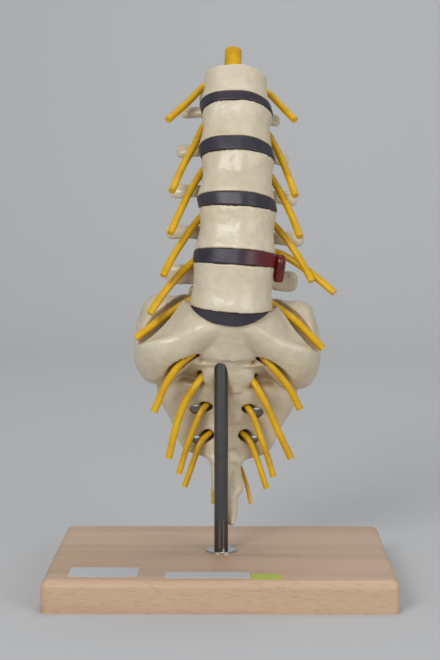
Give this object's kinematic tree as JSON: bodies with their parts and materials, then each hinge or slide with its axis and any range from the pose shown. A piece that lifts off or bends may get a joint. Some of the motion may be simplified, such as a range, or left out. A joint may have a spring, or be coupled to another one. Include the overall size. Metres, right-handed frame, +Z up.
{
  "type": "spine anatomy model",
  "caption": "Life-size lumbar spine with sacrum, coccyx, dark discs, dural sac, nerve roots and a prolapsed disc, held on a steel rod in a rounded wooden board.",
  "frame": {"origin": "centre of the board's underside", "axes": "+Z up along the rod, -Y towards the front of the spine and of the board, +X to the viewer's right"},
  "size_m": [0.215, 0.1682, 0.3472],
  "materials": {
    "bone": "satin, slightly mottled cream",
    "disc": "dark grey with a violet cast",
    "nerve": "glossy yellow-orange",
    "nucleus": "glossy dark red",
    "wood": "oiled beech",
    "chrome": "polished",
    "screw": "zinc plated",
    "white_paper": "white paper, blank",
    "green_paper": "yellow-green paper, blank"
  },
  "bodies": {
    "root": {"L1_vertebra": "bone", "L2_vertebra": "bone", "L3_vertebra": "bone", "L4_vertebra": "bone", "L5_vertebra": "bone", "sacrum_and_coccyx": "bone", "disc_L1_L2": "disc", "disc_L2_L3": "disc", "disc_L3_L4": "disc", "disc_L4_L5": "disc", "disc_L5_S1": "disc", "nerve_T12_left": "nerve", "nerve_T12_right": "nerve", "nerve_L1_left": "nerve", "nerve_L1_right": "nerve", "nerve_L2_left": "nerve", "nerve_L2_right": "nerve", "nerve_L3_left": "nerve", "nerve_L3_right": "nerve", "nerve_L4_left": "nerve", "nerve_L4_right": "nerve", "nerve_L5_left": "nerve", "nerve_L5_right": "nerve", "nerve_S1_left": "nerve", "nerve_S1_right": "nerve", "nerve_S2_left": "nerve", "nerve_S2_right": "nerve", "nerve_S3_left": "nerve", "nerve_S3_right": "nerve", "nerve_S4_left": "nerve", "nerve_S4_right": "nerve", "nerve_S5_left": "nerve", "nerve_S5_right": "nerve", "dural_sac": "nerve", "herniated_nucleus": "nucleus", "base_board": "wood", "stand_rod": "chrome", "rod_flange": "chrome", "base_screw": "screw", "base_washer": "screw", "label_left": "white_paper", "label_middle": "white_paper", "label_right": "green_paper"}
  },
  "joints": []
}
